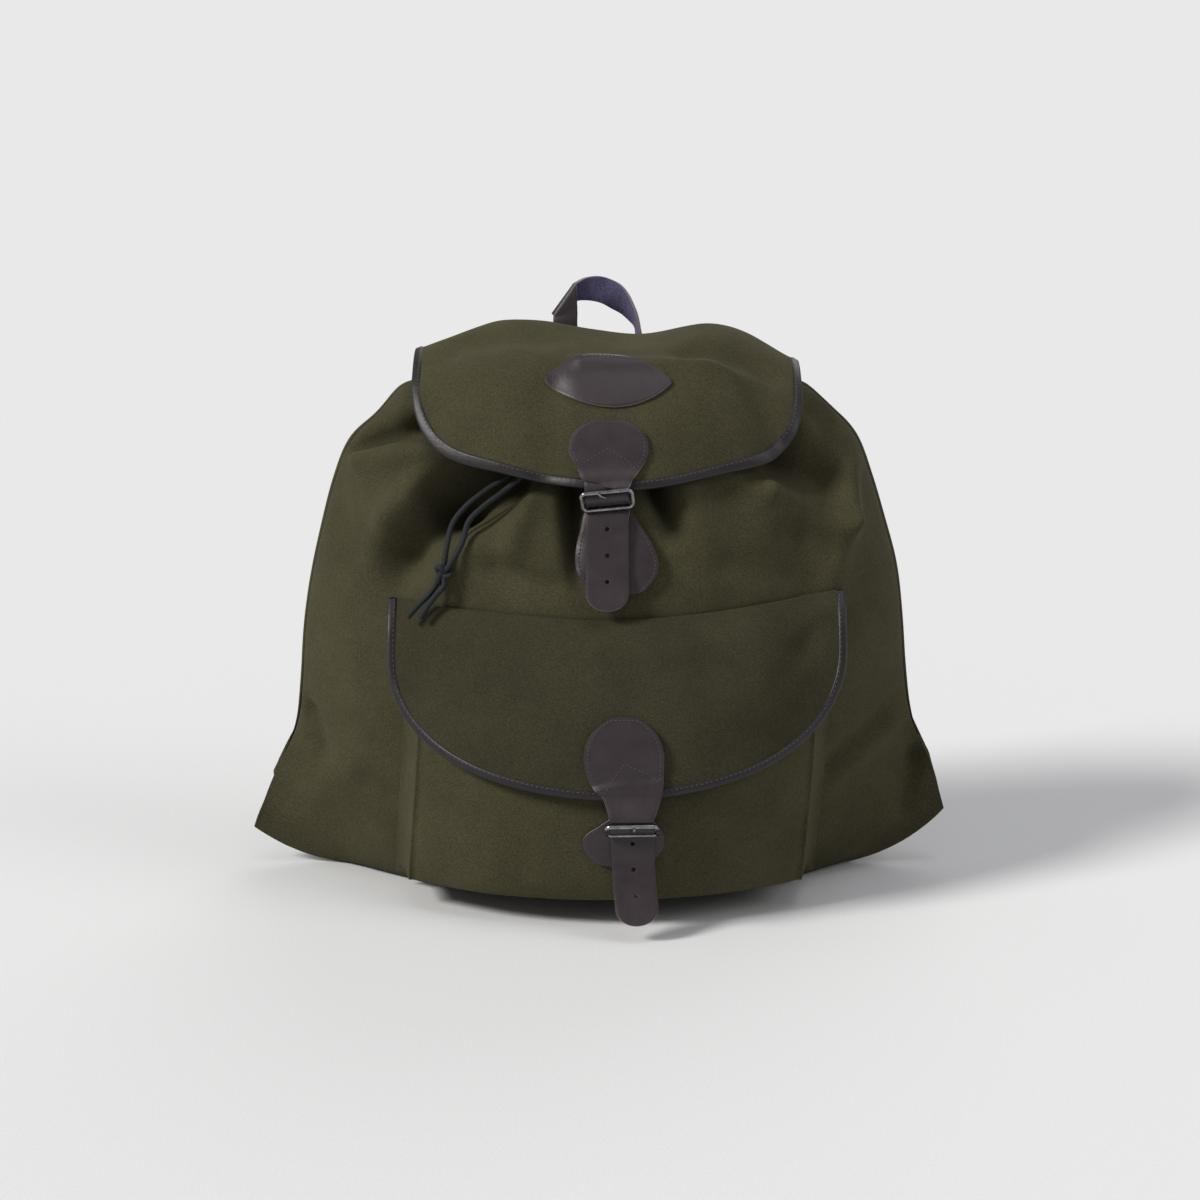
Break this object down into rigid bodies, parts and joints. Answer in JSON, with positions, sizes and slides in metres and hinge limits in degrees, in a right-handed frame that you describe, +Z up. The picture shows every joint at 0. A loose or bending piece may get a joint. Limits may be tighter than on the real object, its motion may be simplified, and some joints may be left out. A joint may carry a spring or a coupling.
{
  "type": "hunting rucksack",
  "caption": "Drawstring hunting rucksack in loden cloth with a flapped front pocket, leather-bound flaps, buckled leather straps, a carrying handle and shoulder straps.",
  "frame": {"origin": "on the floor under the bag, on the flat underside it stands on, in the middle of its width near its bottom seam", "axes": "+Z up, -Y out of the front with the pocket, +X to the right as seen from the front"},
  "size_m": [0.52, 0.2778, 0.4353],
  "materials": {
    "loden_cloth": "matte felted wool",
    "dark_leather": "waxed grain, satin",
    "gunmetal_wire": "dark plated, worn",
    "braided_cord": "matte braid"
  },
  "bodies": {
    "root": {"sack_front": "loden_cloth", "sack_back": "loden_cloth", "top_flap": "loden_cloth", "pocket": "loden_cloth", "pocket_flap": "loden_cloth", "top_flap_binding": "dark_leather", "oval_patch": "dark_leather", "top_closure_strap": "dark_leather", "top_buckle_base": "dark_leather", "pocket_flap_binding": "dark_leather", "pocket_closure_strap": "dark_leather", "pocket_buckle_base": "dark_leather", "carry_handle": "dark_leather", "shoulder_strap_left": "dark_leather", "shoulder_strap_right": "dark_leather", "top_buckle": "gunmetal_wire", "top_buckle_prong": "gunmetal_wire", "pocket_buckle": "gunmetal_wire", "pocket_buckle_prong": "gunmetal_wire", "drawcord_left": "braided_cord", "drawcord_right": "braided_cord", "drawcord_tail_left": "braided_cord", "drawcord_tail_right": "braided_cord", "drawcord_knot": "braided_cord"}
  },
  "joints": []
}
